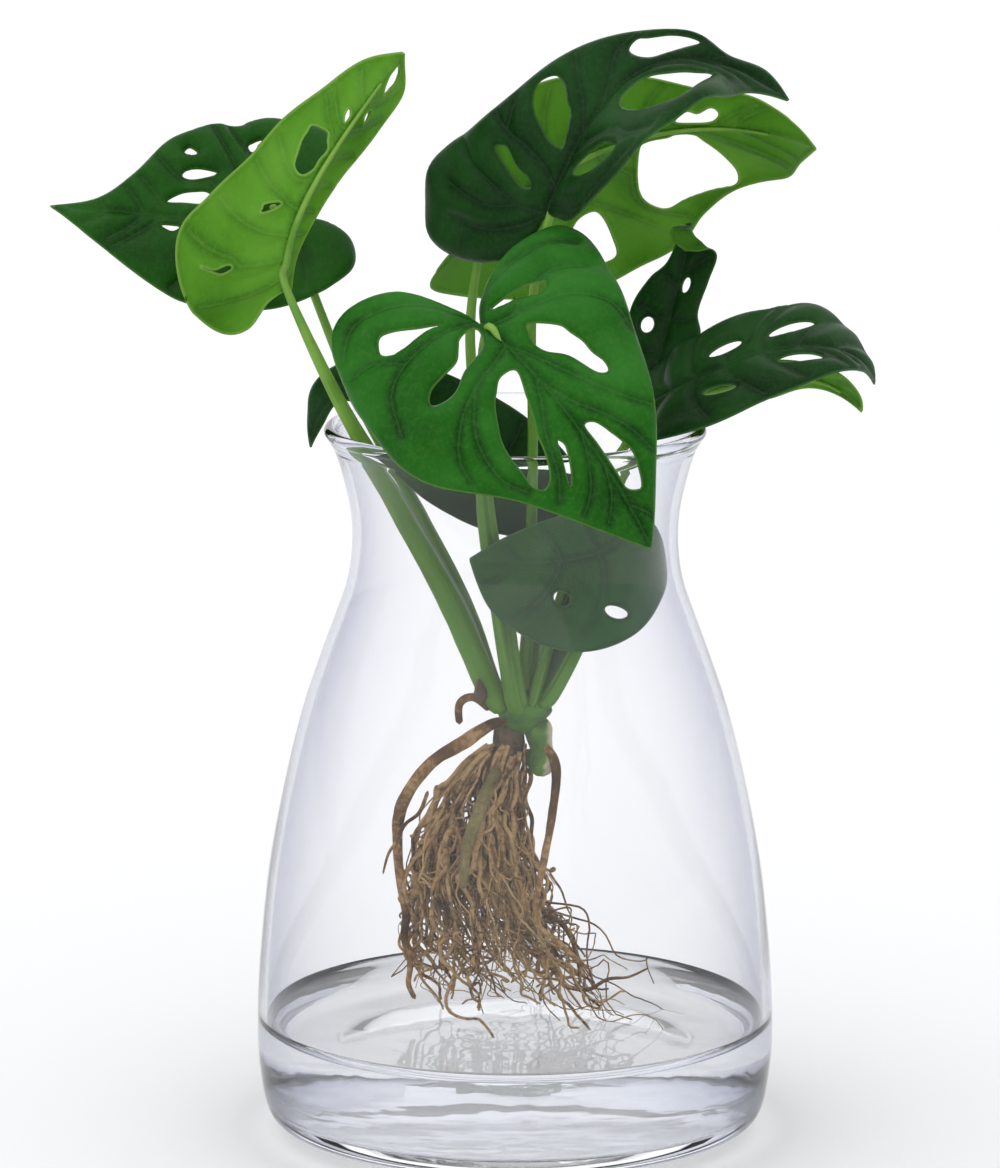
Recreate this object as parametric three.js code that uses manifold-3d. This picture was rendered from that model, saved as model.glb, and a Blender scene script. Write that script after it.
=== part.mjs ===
// A cutting of a swiss cheese plant, with pierced leaves, leaf stalks and roots, standing in a glass vase.
// Millimetres, +Z up. The origin is the centre of the vase's flat base.
import * as THREE from 'three';
import { mergeVertices } from 'three/addons/utils/BufferGeometryUtils.js';
import { TessellateModifier } from 'three/addons/modifiers/TessellateModifier.js';
import Module from 'manifold-3d';

// Vase and water
const VASE_OUTSIDE = [ // radius and height of the blown wall, from the foot to just under the rim
  [53.8, 0], [65.2, 2], [71.9, 6], [74.7, 20], [75.1, 35], [74, 55], [71.2, 80], [66.4, 105], [61.4, 125],
  [56.4, 140], [52, 152], [48.6, 162], [47.1, 172], [47.3, 182], [49.3, 192], [51.7, 200], [54.6, 206],
];
const WALL = 2.6;
const RIM_BEAD = 1.8; // radius of the fire-polished rim
const RIM_HEIGHT = 206.2; // middle of the bead
const FOOT_EDGE = [61, 0.6]; // radius and height where the flat base turns up into the foot
const FLOOR = 7; // glass under the water
const FLOOR_EDGE = [[3, 8.4], [9, FLOOR]]; // distance in from the lining, and height, of its round edge
const FOOT_BAND = [2, 14]; // heights of the rounded foot
const SIDE_BAND = [25, 200]; // heights of the wall from above the foot to under the rim
const LINING_END = 12; // height where the lining turns into the floor
const TURNS = 40; // facets around the vase
const WATER_LEVEL = 33.4;
const GAP = 0.4; // clearance between pieces that touch

// Leaves
const BLADE = 0.8; // leaf thickness
const PATCH = 16; // longest edge of a blade's facets
const MARGIN_STEPS = 1.6; // facets of a margin for each of its points
const HOLE_STEPS = [8, 12]; // facets around a small and a large hole
const LARGE_HOLE = 15; // length from which a hole is large
const STALK_GAP = 2; // from a blade's middle surface to the end of its stalk
const STALK_TIP = 1.1; // radius of a stalk under its blade
const LIMB_STEP = 10; // length of a facet along a stalk or a root

// Each leaf's midrib is a Bezier curve from the heel, where the stalk joins, to the tip. Its outline and
// its holes lie flat, x across and y along the midrib, before the blade is folded and cupped about it.
// face is the way that the upper side looks, fold and cup are degrees for the left and the right half,
// and a hole is its centre, length, width and angle.
const LEAVES = {
  front: {
    midrib: [[-10, -48, 245], [1, -62, 239], [23, -76, 217], [38, -66, 184]],
    face: [0.05, -0.85, 0.5], fold: [10, 12], cup: [35, 30],
    left: [[-5, -6], [-16, -13], [-28, -17], [-42, -16], [-42, 3], [-34, 25], [-26, 43], [-20, 54],
      [-10, 68]],
    right: [[1, -10], [7, -28], [20, -35], [31, -31], [40, -14], [46, 12], [43, 31], [26, 51], [13, 68]],
    holes: [[16, -10, 21, 7, 149], [21, 12, 12, 5, 3], [9, 6, 12, 6, 20], [13, 35, 34, 10, 68],
      [-13, 24, 25, 8, 110], [-14, 2, 16, 5, 165], [-5, 56, 20, 8, 93]],
    stalk: [[0, -8, 130], [-4, -12, 156], [-8, -20, 184], [-10, -32, 215]], girth: [3.3, 3.2, 2.8, 1.8],
  },
  top: {
    midrib: [[9, -14, 271], [21, -26, 302], [35, -22, 333], [78, -5, 302]],
    face: [-0.22, -0.78, 0.58], fold: [8, 38], cup: [25, 10],
    left: [[-4, -17], [-19, -29], [-36, -31], [-44, -17], [-42, -5], [-33, 10], [-20, 39], [-12, 56],
      [-9, 68], [-4, 77], [-4, 89]],
    right: [[7, 3], [18, 9], [26, 22], [35, 39], [36, 50], [25, 67], [11, 81], [4, 91]],
    holes: [[-12, 25, 20, 11, 139], [-16, 7, 15, 5, 154], [-7, 60, 15, 5, 87], [11, 57, 17, 10, 74],
      [12, 41, 7, 6, 44], [12, 22, 17, 7, 43]],
    stalk: [[2, -1.5, 130], [4, -4, 157], [5, -7, 202], [5, -10, 246]], girth: [1.9, 1.7, 1.5, 1.3],
  },
  back: {
    midrib: [[-11, 33, 259], [13, 45, 281], [51, 45, 297], [87, 20, 285]],
    face: [0.1, 0.75, 0.62], fold: [15, 15], cup: [25, 20],
    left: [[1, -13], [-3, -21], [-15, -15], [-29, -4], [-45, 13], [-53, 34], [-50, 54], [-41, 65], [-31, 77],
      [-24, 94], [-13, 102]],
    right: [[8, -4], [22, 6], [30, 26], [27, 46], [20, 62], [14, 76], [12, 92], [6, 104]],
    holes: [[-19, 65, 26, 26, 109], [5, 74, 12, 5, 94], [-34, 32, 14, 9, 140]],
    stalk: [[-1, 7, 130], [-5, 10, 155], [-9, 14, 189], [-13, 23, 231]], girth: [2, 1.8, 1.7, 1.5],
  },
  left: {
    midrib: [[-66, -8, 248], [-67, -25, 269], [-55, -15, 286], [-32, 10, 314]],
    face: [-0.57, 0.8, 0.15], fold: [30, 30], cup: [20, 20],
    left: [[-4, -4], [-7, 6], [-10, 18], [-12, 33], [-15, 52], [-17, 68], [-15, 82]],
    right: [[5, -4], [11, -13], [18, -13], [25, -4], [32, 14], [26, 23], [20, 33], [17, 46], [13, 58],
      [8, 74]],
    holes: [[6, 43, 11, 7, 106], [2, 58, 4, 2, 36], [-6, 64, 4, 3, 52], [-6, 77, 6, 5, 58],
      [8, 25, 6, 2, 144], [18, 9, 7, 2, 5]],
    stalk: [[-7, -5, 130], [-19, -7, 158], [-34, -12, 187], [-52, -16, 221]], girth: [3.6, 3.6, 2.8, 2],
  },
  far_left: {
    midrib: [[-65, 30, 264], [-82, 22, 262], [-111, 20, 266], [-135, 30, 267]],
    face: [0.05, -0.75, 0.65], fold: [8, 8], cup: [10, 25],
    left: [[-4, -9], [-12, -14], [-22, -11], [-28, 0], [-32, 14], [-30, 29], [-24, 39], [-12, 54], [-4, 65]],
    right: [[4, -9], [14, -20], [28, -22], [36, -8], [35, 11], [34, 25], [28, 38], [14, 48], [4, 58]],
    holes: [[15, 27, 11, 4, 102], [7, 30, 12, 3, 102], [-4, 35, 6, 2, 82], [24, 30, 6, 2, 70],
      [27, 2, 8, 4, 106]],
    stalk: [[-6, 3, 130], [-15, 9, 154], [-30, 16, 183], [-48, 22, 216]], girth: [2.3, 2, 1.7, 1.4],
  },
  right: {
    midrib: [[40, 2, 214], [58, -8, 227], [93, -4, 242], [104, 8, 218]],
    face: [0, -0.42, 0.91], fold: [6, 10], cup: [25, 30],
    left: [[-3, -8], [-12, -13], [-21, -8], [-24, 3], [-22, 20], [-22, 38], [-24, 54], [-20, 64], [-9, 73]],
    right: [[5, -6], [14, -7], [21, 0], [24, 10], [24, 24], [21, 38], [16, 50], [9, 61], [3, 69]],
    holes: [[-8, 25, 11, 4, 93], [-10, 46, 16, 4, 110], [6, 45, 13, 5, 90], [11, 21, 10, 4, 69]],
    stalk: [[6, -6, 130], [13, -6, 157], [22, -4, 186], [34, -1, 205]], girth: [1.9, 1.7, 1.5, 1.3],
  },
  upright: {
    midrib: [[41, 30, 218], [46, 38, 235], [54, 42, 264], [50, 30, 260]],
    face: [-0.35, -0.85, 0.35], fold: [20, 20], cup: [20, 20],
    left: [[-4, -4], [-9, 3], [-12, 16], [-9, 26], [-5, 32], [-3, 41]],
    right: [[5, -4], [12, 2], [12, 13], [9, 20], [10, 30], [11, 40], [6, 47]],
    holes: [[1, 27, 5, 4, 83], [-6, 13, 5, 4, 85]],
    stalk: [[9, 5, 130], [16, 10, 154], [25, 18, 182], [35, 25, 204]], girth: [1.9, 1.6, 1.4, 1.2],
  },
  low_right: {
    midrib: [[46, 24, 212], [66, 23, 216], [88, 19, 226], [101, 20, 208]],
    face: [0.1, 0.5, 0.85], fold: [5, 5], cup: [20, 20],
    left: [[-4, 0], [-11, 7], [-16, 17], [-15, 28], [-8, 40], [-3, 51]],
    right: [[3, -1], [8, 6], [12, 18], [13, 30], [11, 44], [5, 54]],
    holes: [],
    stalk: [[11, -0.5, 130], [18, 4, 156], [28, 11, 183], [38, 18, 204]], girth: [1.8, 1.5, 1.3, 1.1],
  },
  rim: {
    midrib: [[15, 8, 184], [-13, 2, 203], [-52, -4, 240], [-59, -2, 201]],
    face: [-0.25, -0.75, 0.6], fold: [5, 5], cup: [15, 15],
    left: [[-7, -2], [-15, 5], [-20, 15], [-23, 28], [-23, 41], [-19, 55], [-9, 67], [-2, 76], [-2, 86]],
    right: [[6, -3], [12, 8], [14, 24], [13, 44], [11, 62], [9, 78], [4, 86]],
    holes: [],
    stalk: [[4, 8, 130], [8, 9, 152], [13, 9, 170]], girth: [1.9, 1.6, 1.3],
  },
  inside: {
    midrib: [[34, -7, 184], [32, -10, 170], [13, -25, 171], [-13, -27, 174]],
    face: [0, -0.98, 0.2], fold: [8, 10], cup: [20, 40],
    left: [[-6, 2], [-13, 7], [-20, 11], [-26, 17], [-27, 27], [-23, 38], [-14, 50]],
    right: [[5, -1], [10, 6], [13, 20], [12, 34], [7, 47]],
    holes: [[-11, 31, 5, 4, 40], [-18, 19, 6, 3, 35]],
    stalk: [[11, -7, 130], [19, -8, 146], [27, -8.5, 168]], girth: [2.2, 1.8, 1.4],
  },
};

// Stem, roots and bud: route, then radius from one end to the other
const STEM_PARTS = {
  crown: { route: [[3, 0, 128], [3, 0, 123.5], [3, 0, 119]], girth: [9, 7, 5.5], sides: 12 },
  stem: { route: [[7, 0, 118.5], [7.5, 0, 112], [8, 0, 105]], girth: [3.8, 4, 2.5], sides: 10 },
  rhizome: { route: [[-2, 2, 118.5], [-2, 2, 110], [-5, 2, 99.5]], girth: [3.2, 3, 2.4], sides: 10 },
  bud: { route: [[-9.5, -10.5, 129], [-10, -11, 132], [-10.5, -11, 135]], girth: [2, 1.7, 0.6], sides: 8 },
};
const ROOTS = {
  root_left: {
    route: [[-7, -8, 122], [-14, -10, 117], [-25, -12, 110], [-32, -12, 100], [-34, -11, 89], [-33, -9, 75],
      [-31, -8, 60], [-29, -6, 39]],
    girth: [2.2, 2, 1.8, 1.6, 1.5],
  },
  root_right: {
    route: [[13, -4, 108], [10, -8, 90], [6, -16, 71], [7, -18, 64], [13, -19, 59], [20, -18, 52]],
    girth: [1.3, 1.1, 0.8],
  },
  root_olive: {
    route: [[-5, -6, 108], [-10, -15, 98], [-14, -20, 87], [-15, -22, 76]], girth: [1.8, 1.8, 1.6],
  },
  root_loop: {
    route: [[-7, -5, 125], [-12, -7, 129], [-16, -7, 127], [-16, -7, 121]], girth: [1.3, 1.2, 1],
  },
  root_hair: { route: [[-27.5, -16, 97], [-34, -17, 91], [-38, -17, 79]], girth: [0.8, 0.6] },
  root_strand: { route: [[21, -8, 44], [31, -6, 45], [39, -4, 48]], girth: [0.8, 0.6] },
};
const ROOT_MASS = {
  route: [[-8, 0, 97], [-12, 0, 79], [-10, 0, 58], [-4, 0, 40], [0, 0, 26]],
  girth: [4, 10, 14, 17, 8], sides: 14,
};

const LOOKS = { // colour, roughness, opacity
  glass: [0xdfe6ee, 0.05, 0.3],
  water: [0xd5e0e2, 0.02, 0.4],
  upper_leaf: [0x2f6b2c, 0.45, 1],
  pale_leaf: [0x7fb050, 0.5, 1],
  stalk: [0x86a860, 0.5, 1],
  bark: [0x6b5640, 0.85, 1],
  root: [0x9a8266, 0.9, 1],
};

const wasm = await Module();
wasm.setup();
const plant = new THREE.Group();

function add(name, geometry, look) {
  const [color, roughness, opacity] = LOOKS[look];
  const settings = { color, roughness, metalness: 0, opacity, transparent: opacity < 1 };
  const mesh = new THREE.Mesh(geometry, new THREE.MeshStandardMaterial(settings));
  mesh.name = name;
  plant.add(mesh);
}

// Value at fraction t of a list whose entries are evenly spaced.
function along(list, t) {
  const place = t * (list.length - 1);
  const step = Math.min(Math.floor(place), list.length - 2);
  return THREE.MathUtils.lerp(list[step], list[step + 1], place - step);
}

// Round limb: a cylinder bent along a smooth route, with its radius changing on the way.
function limb({ route, girth, sides = 8 }, grow = 0) {
  const curve = new THREE.CatmullRomCurve3(route.map((point) => new THREE.Vector3(...point)));
  const steps = Math.ceil(curve.getLength() / LIMB_STEP);
  const { normals, binormals } = curve.computeFrenetFrames(steps);
  const tube = new THREE.CylinderGeometry(1, 1, 1, sides, steps);
  const places = tube.attributes.position;
  for (let i = 0; i < places.count; i += 1) {
    const t = places.getY(i) + 0.5;
    const ring = Math.round(t * steps);
    const radius = along(girth, t) + grow;
    const point = curve.getPointAt(t)
      .addScaledVector(normals[ring], places.getX(i) * radius)
      .addScaledVector(binormals[ring], -places.getZ(i) * radius);
    places.setXYZ(i, point.x, point.y, point.z);
  }
  return tube;
}

// Point of a bent blade: x across and y along the midrib, height above the middle surface.
function bladePoint(leaf, x, y, height = 0) {
  const curve = new THREE.CubicBezierCurve3(...leaf.midrib.map((point) => new THREE.Vector3(...point)));
  const length = curve.getLength();
  const u = THREE.MathUtils.clamp(y / length, 0, 1);
  const tangent = curve.getTangentAt(u);
  const across = new THREE.Vector3().crossVectors(tangent, new THREE.Vector3(...leaf.face)).normalize();
  const up = new THREE.Vector3().crossVectors(across, tangent);
  const half = x < 0 ? 0 : 1;
  const fold = THREE.MathUtils.degToRad(leaf.fold[half]);
  const bend = THREE.MathUtils.degToRad(leaf.cup[half]) / (0.5 * length);
  const turned = fold - bend * Math.abs(x);
  const outward = (Math.sin(fold) - Math.sin(turned)) / bend;
  const raised = (Math.cos(turned) - Math.cos(fold)) / bend;
  const lean = x === 0 ? 0 : turned;
  return curve.getPointAt(u)
    .addScaledVector(tangent, y - u * length)
    .addScaledVector(across, Math.sign(x) * (outward - height * Math.sin(lean)))
    .addScaledVector(up, raised + height * Math.cos(lean));
}

function midribLength(leaf) {
  return new THREE.CubicBezierCurve3(...leaf.midrib.map((point) => new THREE.Vector3(...point))).getLength();
}

// Half an outline, a smooth line from the heel to the tip.
function margin(points, tip) {
  const knots = [[0, 0], ...points, [0, tip]].map(([x, y]) => new THREE.Vector2(x, y));
  return new THREE.SplineCurve(knots).getPoints(Math.round(MARGIN_STEPS * knots.length));
}

function holePath([x, y, length, width, angle]) {
  const turn = THREE.MathUtils.degToRad(angle);
  const rim = new THREE.EllipseCurve(x, y, length / 2, width / 2, 0, 2 * Math.PI, false, turn);
  return new THREE.Path(rim.getPoints(HOLE_STEPS[length > LARGE_HOLE ? 1 : 0]).slice(0, -1));
}

// Blade: a flat pierced plate cut into small facets, each corner then set on the bent surface.
function blade(leaf) {
  const tip = midribLength(leaf);
  const right = margin(leaf.right, tip);
  const left = margin(leaf.left, tip).reverse();
  const shape = new THREE.Shape([...right, ...left.slice(1, -1)]);
  shape.holes = leaf.holes.map(holePath);
  const plate = new THREE.ExtrudeGeometry(shape, { depth: BLADE, bevelEnabled: false });
  const facets = new TessellateModifier(PATCH, 12).modify(plate);
  const places = facets.attributes.position;
  for (let i = 0; i < places.count; i += 1) {
    const point = bladePoint(leaf, places.getX(i), places.getY(i), places.getZ(i) - BLADE / 2);
    places.setXYZ(i, point.x, point.y, point.z);
  }
  return facets;
}

// Stalk: from the crown to just under the heel of its blade.
function stalk(leaf) {
  const heel = bladePoint(leaf, 0, 0, -STALK_GAP);
  return limb({ route: [...leaf.stalk, heel.toArray()], girth: [...leaf.girth, STALK_TIP] });
}

// Outside radius of the vase at a height.
const outside = new THREE.SplineCurve(VASE_OUTSIDE.map(([r, z]) => new THREE.Vector2(r, z))).getPoints(160);
function vaseRadius(z) {
  const next = Math.max(1, outside.findIndex((point) => point.y >= z));
  const [below, above] = [outside[next - 1], outside[next]];
  return THREE.MathUtils.mapLinear(z, below.y, above.y, below.x, above.x);
}

// Profile points on the wall between two heights, moved inwards by inset.
function wall(from, to, steps, inset) {
  return Array.from({ length: steps + 1 }, (_, i) => {
    const z = THREE.MathUtils.lerp(from, to, i / steps);
    return new THREE.Vector2(vaseRadius(z) - inset, z);
  });
}

function turned(profile) {
  return new THREE.LatheGeometry(profile, TURNS).rotateX(Math.PI / 2);
}

// Rounded edge of the floor inside the vase, lifted and moved inwards by gap.
function floorEdge(gap) {
  const lining = vaseRadius(FLOOR_EDGE[1][0]) - WALL - gap;
  return FLOOR_EDGE.map(([inwards, z]) => new THREE.Vector2(lining - inwards, z + gap));
}

function vase() {
  const [foot, shoulder] = FOOT_BAND;
  const [low, high] = SIDE_BAND;
  const lap = 0.6; // radians that the bead runs past a half circle at each end
  const bead = new THREE.EllipseCurve(
    vaseRadius(RIM_HEIGHT - GAP) - WALL / 2, RIM_HEIGHT, RIM_BEAD, RIM_BEAD, -lap, Math.PI + lap, false, 0);
  return turned([
    new THREE.Vector2(0, 0), new THREE.Vector2(VASE_OUTSIDE[0][0], 0), new THREE.Vector2(...FOOT_EDGE),
    ...wall(foot, shoulder, 3, 0), ...wall(low, high, 12, 0), ...bead.getPoints(6),
    ...wall(high, low, 12, WALL), ...wall(shoulder, LINING_END, 1, WALL),
    ...floorEdge(0), new THREE.Vector2(0, FLOOR),
  ]);
}

// Closed shell with shared corners, as a solid that can be joined and cut.
function solid(geometry) {
  const bare = geometry.clone();
  bare.deleteAttribute('normal');
  bare.deleteAttribute('uv');
  const merged = mergeVertices(bare, 1e-3);
  const corners = merged.index.array;
  const triangles = [];
  for (let i = 0; i < corners.length; i += 3) {
    const [a, b, c] = [corners[i], corners[i + 1], corners[i + 2]];
    if (a !== b && b !== c && c !== a) triangles.push(a, b, c);
  }
  const vertProperties = new Float32Array(merged.attributes.position.array);
  const triVerts = new Uint32Array(triangles);
  return new wasm.Manifold(new wasm.Mesh({ numProp: 3, vertProperties, triVerts }));
}

function geometryOf(body) {
  const { vertProperties, triVerts } = body.getMesh();
  const geometry = new THREE.BufferGeometry();
  geometry.setAttribute('position', new THREE.BufferAttribute(vertProperties, 3));
  geometry.setIndex(new THREE.BufferAttribute(triVerts, 1));
  return geometry;
}

// Water: fills the foot of the vase, with a hollow where the root ends hang into it.
function water() {
  const side = WALL + GAP;
  const profile = [
    new THREE.Vector2(0, FLOOR + GAP), ...floorEdge(GAP).reverse(),
    ...wall(LINING_END + GAP, FOOT_BAND[1], 1, side), ...wall(SIDE_BAND[0], WATER_LEVEL, 2, side),
    new THREE.Vector2(0, WATER_LEVEL),
  ];
  return geometryOf(solid(turned(profile)).subtract(solid(limb(ROOT_MASS, GAP).translate(0, 0, -GAP))));
}

add('vase', vase(), 'glass');
add('water', water(), 'water');
for (const [name, leaf] of Object.entries(LEAVES)) {
  add(`leaf_${name}`, blade(leaf), ['left', 'back'].includes(name) ? 'pale_leaf' : 'upper_leaf');
  add(`stalk_${name}`, stalk(leaf), 'stalk');
}
for (const [name, part] of Object.entries(STEM_PARTS)) {
  add(name, limb(part), name === 'rhizome' ? 'bark' : 'stalk');
}
for (const [name, root] of Object.entries(ROOTS)) {
  add(name, limb(root), 'root');
}
add('root_mass', limb(ROOT_MASS), 'root');

export default plant;
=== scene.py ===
"""A swiss cheese plant cutting rooting in a glass vase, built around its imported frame."""

import math

import bpy
import numpy as np
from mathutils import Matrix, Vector
from mathutils.geometry import delaunay_2d_cdt


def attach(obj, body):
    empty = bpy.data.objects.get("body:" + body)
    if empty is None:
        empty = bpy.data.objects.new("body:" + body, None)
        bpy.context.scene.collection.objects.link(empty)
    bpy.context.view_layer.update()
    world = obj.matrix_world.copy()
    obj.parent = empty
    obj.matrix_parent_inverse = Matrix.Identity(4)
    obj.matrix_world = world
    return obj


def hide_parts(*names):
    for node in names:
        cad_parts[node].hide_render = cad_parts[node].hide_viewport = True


# The frame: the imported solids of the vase, the water and the plant, all on one body, with the box
# that they fill. Blender works in metres, and the sizes below are millimetres.
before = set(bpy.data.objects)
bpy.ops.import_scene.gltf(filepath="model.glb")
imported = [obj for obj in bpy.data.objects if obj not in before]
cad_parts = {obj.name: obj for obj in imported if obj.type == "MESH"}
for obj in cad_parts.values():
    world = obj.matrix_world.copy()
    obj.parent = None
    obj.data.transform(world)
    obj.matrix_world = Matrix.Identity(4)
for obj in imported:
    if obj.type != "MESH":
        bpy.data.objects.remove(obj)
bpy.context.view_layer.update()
MM = 0.001
scene = bpy.context.scene


# Studio: a camera on a tall stand looking slightly down, a white floor that runs out of sight, a
# white surround with faint cool flags at both sides, which draw the edges of clear glass, two very
# wide soft boxes, one in front at the upper left and a weaker one behind, and a painted glow in the
# floor round the vase, which lifts the shadow that the glass casts there.
CAMERA_PLACE = (-4.36, -1946.3, 552.44)
CAMERA_TILT = 78.63  # degrees from straight down
CAMERA_LENS = 212.09
FLOOR_HALF, FLOOR_TOP = 15000, -0.2
FLOOR_GREYS = (0.84, 0.84, 0.84, 1), (0.86, 0.86, 0.86, 1)
SURROUND = (1.0, 1.0, 1.0, 1)
FLAG = (0.72, 0.74, 0.84, 1)
FLAG_FROM, FLAG_TO = 0.45, 0.90  # sideways share of the direction where the flags begin and are full
SURROUND_STRENGTH = 0.98
SOFT_LIGHTS = [  # where it shines from, how wide it looks in degrees, strength
    ((-1400, -1700, 1800), 130, 1.0),
    ((900, 1500, 1700), 130, 0.4),
]
PLANT_MIDDLE = (0, 0, 200)
PAINTED_GLOW_FADE = (0.06, 0.082)  # metres from the middle where the painted glow in the floor begins to fade, and ends
PAINTED_GLOW_STRENGTH = 0.42


def paint(red, green, blue):
    """Linear colour from the 0 to 255 numbers of a colour chart."""
    chart = [level / 255 for level in (red, green, blue)]
    return (*(v / 12.92 if v <= 0.04045 else ((v + 0.055) / 1.055) ** 2.4 for v in chart), 1.0)


class Port:
    """An output of a node. Arithmetic on it adds Math nodes, and add() adds any other node."""

    def __init__(self, tree, socket=None):
        self.tree, self.socket = tree, socket

    def add(self, kind, settings=None, values=None, output=0):
        node = self.tree.nodes.new(kind)
        for name, value in (settings or {}).items():
            setattr(node, name, value)
        for name, value in (values or {}).items():
            if isinstance(value, Port):
                self.tree.links.new(value.socket, node.inputs[name])
            else:
                node.inputs[name].default_value = value
        return Port(self.tree, node.outputs[output] if len(node.outputs) else None)

    def output(self, name):
        return Port(self.tree, self.socket.node.outputs[name])

    def math(self, operation, *values):
        return self.add("ShaderNodeMath", {"operation": operation}, dict(enumerate(values)))

    def vector(self, operation, *values):
        return self.add("ShaderNodeVectorMath", {"operation": operation}, dict(enumerate(values)))

    def fade(self, start, end):
        """0 at start rising smoothly to 1 at end."""
        return self.add("ShaderNodeMapRange", {"interpolation_type": "SMOOTHSTEP"},
                        {"Value": self, "From Min": start, "From Max": end})

    def mix(self, low, high, blend="MIX"):
        """The colour low where this value is 0, and high where it is 1."""
        return self.add("ShaderNodeMix", {"data_type": "RGBA", "blend_type": blend},
                        {0: self, 6: low, 7: high}, 2)

    def noise(self, place, scale, detail=2.0, **settings):
        values = {"Vector": place, "Scale": scale, "Detail": detail}
        return self.add("ShaderNodeTexNoise", settings, values)

    def place(self):
        """Where a point lies on its object, in metres."""
        return self.add("ShaderNodeTexCoord", output="Object")

    def stretched(self, by):
        return self.add("ShaderNodeMapping", {}, {"Vector": self, "Scale": by})

    def attribute(self, label):
        return self.add("ShaderNodeAttribute", {"attribute_name": label}, output="Fac")

    def bump(self, strength, distance):
        """Relief with this value as its height."""
        values = {"Height": self, "Strength": strength, "Distance": distance}
        return self.add("ShaderNodeBump", {}, values)

    def principled(self, values):
        return self.add("ShaderNodeBsdfPrincipled", {}, values)

    def cover(self, surface):
        """Makes this surface the one that the material shows."""
        self.add("ShaderNodeOutputMaterial", {}, {"Surface": surface})

    def __add__(self, other):
        return self.math("ADD", self, other)

    def __sub__(self, other):
        return self.math("SUBTRACT", self, other)

    def __rsub__(self, other):
        return self.math("SUBTRACT", other, self)

    def __mul__(self, other):
        return self.math("MULTIPLY", self, other)

    def __pow__(self, other):
        return self.math("POWER", self, other)

    __radd__ = __add__
    __rmul__ = __mul__


def finish_named(name):
    """A new material with an empty tree, and the port that its nodes are added through."""
    made = bpy.data.materials.new(name)
    made.use_nodes = True
    made.node_tree.nodes.clear()
    return made, Port(made.node_tree)


def linked(name, data):
    made = bpy.data.objects.new(name, data)
    scene.collection.objects.link(made)
    return made


def aimed(thing, target):
    direction = Vector(target) - thing.location / MM
    thing.rotation_euler = direction.to_track_quat("-Z", "Y").to_euler()


scene.view_settings.view_transform = "Standard"
camera = linked("camera", bpy.data.cameras.new("camera"))
camera.location = Vector(CAMERA_PLACE) * MM
camera.rotation_euler = (math.radians(CAMERA_TILT), 0, 0)
camera.data.lens = CAMERA_LENS
camera.data.clip_end = 100
scene.camera = camera

surround = bpy.data.worlds.new("surround")
scene.world = surround
surround.use_nodes = True
surround.node_tree.nodes.clear()
around = Port(surround.node_tree)
facing = around.add("ShaderNodeTexCoord", output="Generated")
sideways = around.add("ShaderNodeSeparateXYZ", {}, {0: facing}, "X")
backdrop = around.math("ABSOLUTE", sideways).fade(FLAG_FROM, FLAG_TO).mix(SURROUND, FLAG)
light = around.add("ShaderNodeBackground", {}, {"Color": backdrop, "Strength": SURROUND_STRENGTH})
around.add("ShaderNodeOutputWorld", {}, {"Surface": light})

for place, width, strength in SOFT_LIGHTS:
    lamp = linked("soft_light", bpy.data.lights.new("soft_light", "SUN"))
    lamp.data.angle = math.radians(width)
    lamp.data.energy = strength
    lamp.location = Vector(place) * MM
    aimed(lamp, PLANT_MIDDLE)

floor_mesh = bpy.data.meshes.new("studio_floor")
corners = [(x * FLOOR_HALF * MM, y * FLOOR_HALF * MM, FLOOR_TOP * MM)
           for x, y in ((-1, -1), (1, -1), (1, 1), (-1, 1))]
floor_mesh.from_pydata(corners, [], [(0, 1, 2, 3)])
studio_floor = linked("studio_floor", floor_mesh)
floor_finish, port = finish_named("white floor")
mottle = port.noise(port.place(), 3.0).mix(*FLOOR_GREYS)
distance = port.add("ShaderNodeVectorMath", {"operation": "LENGTH"}, {0: port.place()}, 1)
# Painted glow: the floor emits light round the vase, standing in for the light that the glass keeps from
# the floor under it.
glow = distance.fade(*PAINTED_GLOW_FADE).mix((1, 1, 1, 1), (0, 0, 0, 1))
port.cover(port.principled({
    "Base Color": mottle, "Roughness": 0.9, "Specular IOR Level": 0.1,
    "Emission Color": glow, "Emission Strength": PAINTED_GLOW_STRENGTH}))
floor_mesh.materials.append(floor_finish)


# Vase: clear soda glass blown into a mould, a wide foot and body drawn in to a neck, with a thick
# base and a flared, fire-polished rim. It is one piece, 208 mm high.
VASE_OUTSIDE = [  # radius and height of the wall, from the foot to just under the rim
    (53.8, 0), (65.2, 2), (71.9, 6), (74.7, 20), (75.1, 35), (74, 55), (71.2, 80), (66.4, 105),
    (61.4, 125),
    (56.4, 140), (52, 152), (48.6, 162), (47.1, 172), (47.3, 182), (49.3, 192), (51.7, 200), (54.4, 205)]
WALL = 2.6
RIM_BEAD = 1.8
RIM_MIDDLE = (53.2, 206.2)
PUNT = [(0, 1.6), (30, 1.3), (46, 0.8), (51, 0.1)]  # hollow under the base
WELL = [(66.5, 11), (63.4, 8.4), (57, 7.1), (40, 6.9), (20, 7), (0, 7)]  # inside of the base
LINING_ENDS = (16, 203)  # heights between which the lining runs beside the outside
LIP_OVERLAP = 0.6  # radians that the bead of the rim goes past half a turn at each end
TURNS = 144
GLASS_BENDING = 1.34  # refraction, less than real glass has, to hold reflections back
CLEAR, SLANTED_TINT_AND_REFLECTION = (0.995, 0.995, 1.0, 1), (0.17, 0.20, 0.35, 1)  # seen straight through, and along the wall, where it is partly the glass's own tint and partly painted reflection of the cool flags


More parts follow.
